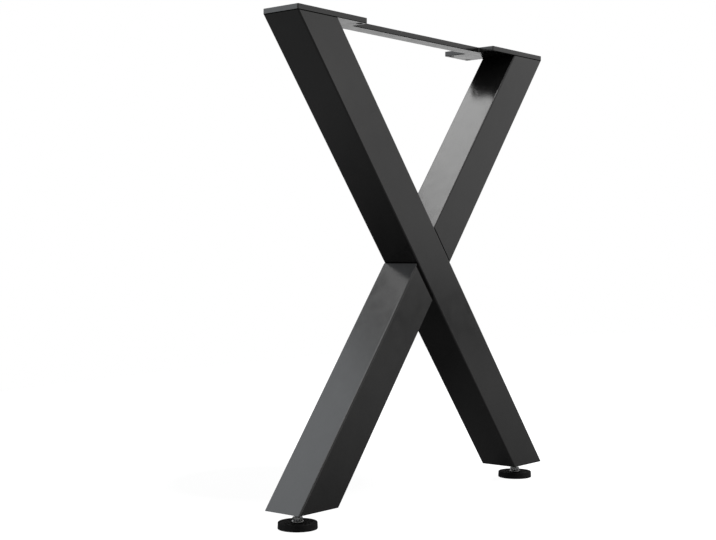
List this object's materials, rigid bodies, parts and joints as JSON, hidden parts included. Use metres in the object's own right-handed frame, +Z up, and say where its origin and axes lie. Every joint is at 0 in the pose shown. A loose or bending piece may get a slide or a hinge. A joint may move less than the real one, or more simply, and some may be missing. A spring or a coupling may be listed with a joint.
{
  "type": "table leg",
  "caption": "X shaped steel table leg of square tube with a drilled top plate, a screwed crossing and adjustable levelling feet.",
  "frame": {"origin": "on the floor, under the middle of the whole leg's box", "axes": "+Z up, X along the leg's width, -Y towards the smooth outer face, +Y towards the inner face with the screw heads and beam holes"},
  "size_m": [0.61, 0.096, 0.7112],
  "materials": {
    "black_paint": "satin",
    "inner_steel": "satin",
    "black_screw": "satin",
    "zinc": "satin",
    "foot_plastic": "matte"
  },
  "bodies": {
    "frame": {"long_tube": "black_paint", "upper_tube": "black_paint", "lower_tube": "black_paint", "top_plate": "black_paint", "left_top_cap": "inner_steel", "right_top_cap": "inner_steel", "left_bottom_cap": "black_paint", "right_bottom_cap": "black_paint", "upper_tongue": "inner_steel", "lower_tongue": "inner_steel", "crossing_screws": "black_screw", "crossing_nuts": "zinc", "top_screws": "black_screw", "beam_nuts": "zinc", "left_foot_nut": "zinc", "right_foot_nut": "zinc"},
    "left_foot": {"left_foot_base": "foot_plastic"},
    "left_stud": {"left_foot_stud": "zinc"},
    "right_foot": {"right_foot_base": "foot_plastic"},
    "right_stud": {"right_foot_stud": "zinc"}
  },
  "joints": [
    {"name": "left_foot_height", "type": "slide", "parent": "frame", "child": "left_foot", "axis": [0, 0, -1], "range_m": [-0.0075, 0.01]},
    {"name": "left_stud_turn", "type": "hinge", "parent": "left_foot", "child": "left_stud", "pos_m": [-0.2722, -0.0155, 0.0098], "axis": [0, 0, -1], "range_deg": [-2170, 2890]},
    {"name": "right_foot_height", "type": "slide", "parent": "frame", "child": "right_foot", "axis": [0, 0, -1], "range_m": [-0.0075, 0.01]},
    {"name": "right_stud_turn", "type": "hinge", "parent": "right_foot", "child": "right_stud", "pos_m": [0.2722, -0.0155, 0.0098], "axis": [0, 0, -1], "range_deg": [-2170, 2890]}
  ],
  "couplings": [
    {"joint": "left_stud_turn", "follows": "left_foot_height", "rad_per_m": 5026.5},
    {"joint": "right_stud_turn", "follows": "right_foot_height", "rad_per_m": 5026.5}
  ]
}
